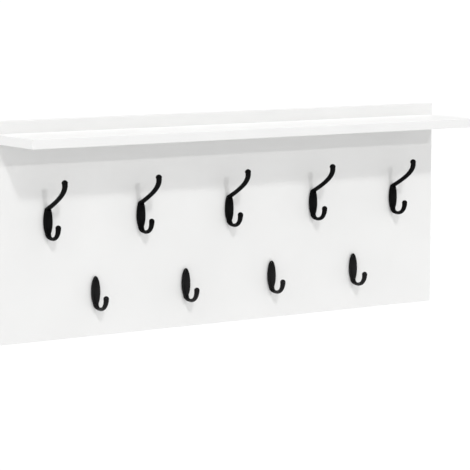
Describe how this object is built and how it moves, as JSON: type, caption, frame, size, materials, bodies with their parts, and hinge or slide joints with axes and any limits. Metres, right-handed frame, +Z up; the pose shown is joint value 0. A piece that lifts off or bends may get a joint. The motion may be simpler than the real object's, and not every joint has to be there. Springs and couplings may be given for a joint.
{
  "type": "wall hook rack",
  "caption": "White wall rack: a flat back panel with a shelf near its top edge, a row of black double hooks and, staggered below, a row of single hooks.",
  "frame": {"origin": "middle of the back panel's back face, on the wall plane", "axes": "+X along the rack to the right as seen from the room, +Y into the wall, +Z up; the hooks and the shelf stand out towards -Y"},
  "size_m": [0.9, 0.144, 0.37],
  "materials": {
    "white_board": "white melamine-faced chipboard, fine satin texture",
    "white_edge_band": "white satin plastic edge band",
    "black_hook": "satin black powder coat on cast metal",
    "zinc_plated_steel": "bright zinc plating",
    "beech": "bare fluted beech"
  },
  "bodies": {
    "root": {"back_panel": "white_board", "panel_band_left": "white_edge_band", "panel_band_right": "white_edge_band", "panel_band_bottom": "white_edge_band", "panel_band_top": "white_edge_band", "shelf_board": "white_board", "shelf_band_front": "white_edge_band", "shelf_band_left": "white_edge_band", "shelf_band_right": "white_edge_band", "double_hook_1": "black_hook", "double_hook_2": "black_hook", "double_hook_3": "black_hook", "double_hook_4": "black_hook", "double_hook_5": "black_hook", "single_hook_1": "black_hook", "single_hook_2": "black_hook", "single_hook_3": "black_hook", "single_hook_4": "black_hook", "double_hook_screws": "zinc_plated_steel", "single_hook_screws": "zinc_plated_steel", "shelf_screws": "zinc_plated_steel", "dowels": "beech", "hanger_left": "zinc_plated_steel", "hanger_right": "zinc_plated_steel", "hanger_screws": "zinc_plated_steel"}
  },
  "joints": []
}
